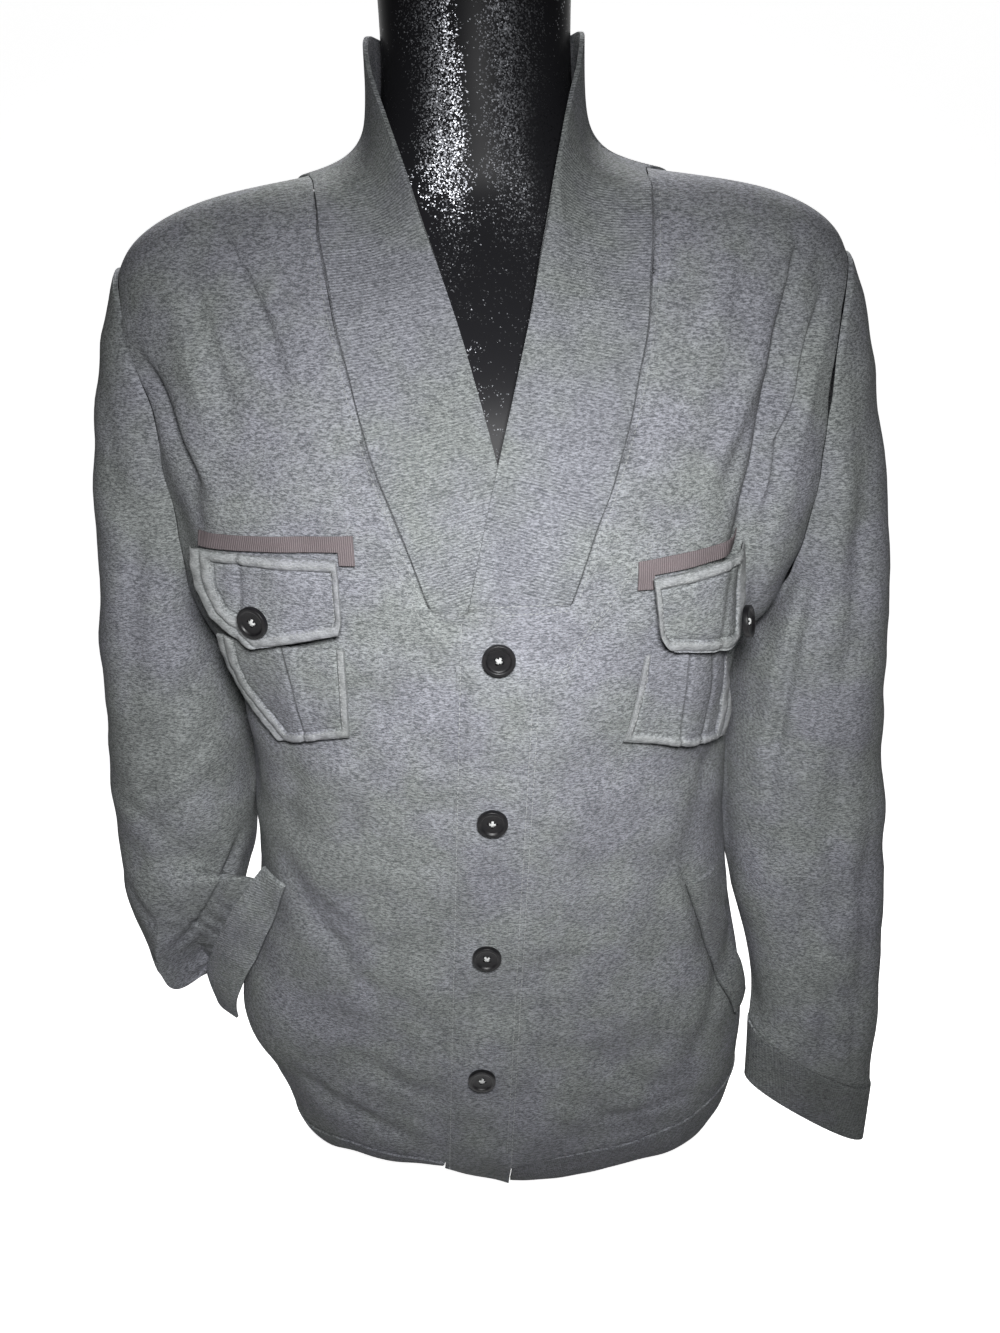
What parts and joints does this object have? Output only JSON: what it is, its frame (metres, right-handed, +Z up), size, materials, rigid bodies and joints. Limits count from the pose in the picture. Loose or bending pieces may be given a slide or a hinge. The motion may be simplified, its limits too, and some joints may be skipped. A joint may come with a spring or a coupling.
{
  "type": "shawl collar cardigan on a dress form",
  "caption": "Long-sleeved buttoned cardigan in grey melange sweat jersey with a ribbed shawl collar, flap chest pockets and slanted side pockets, worn by a limbless black dress form.",
  "frame": {"origin": "centre of the flat base that the dress form stands on", "axes": "+Z up, the cardigan's front faces -Y, +X is the wearer's left"},
  "size_m": [0.5689, 0.2651, 0.868],
  "materials": {
    "jersey": "matte grey melange sweat jersey",
    "rib": "matte grey melange fine rib",
    "tape": "matte taupe grosgrain",
    "button": "black polyester, polished",
    "form": "gloss black with fine silver glitter"
  },
  "bodies": {
    "root": {"dress_form": "form", "back": "jersey", "front_left": "jersey", "front_right": "jersey", "hem_left": "rib", "hem_right": "rib", "hem_back": "rib", "collar_left": "rib", "collar_right": "rib", "sleeve_left": "jersey", "sleeve_right": "jersey", "cuff_left": "rib", "cuff_right": "rib", "pocket_left": "jersey", "pocket_right": "jersey", "flap_left": "jersey", "flap_right": "jersey", "tape_left": "tape", "tape_right": "tape", "welt_left": "rib", "welt_right": "rib", "button_1": "button", "button_2": "button", "button_3": "button", "button_4": "button", "flap_button_left": "button", "flap_button_right": "button"}
  },
  "joints": []
}
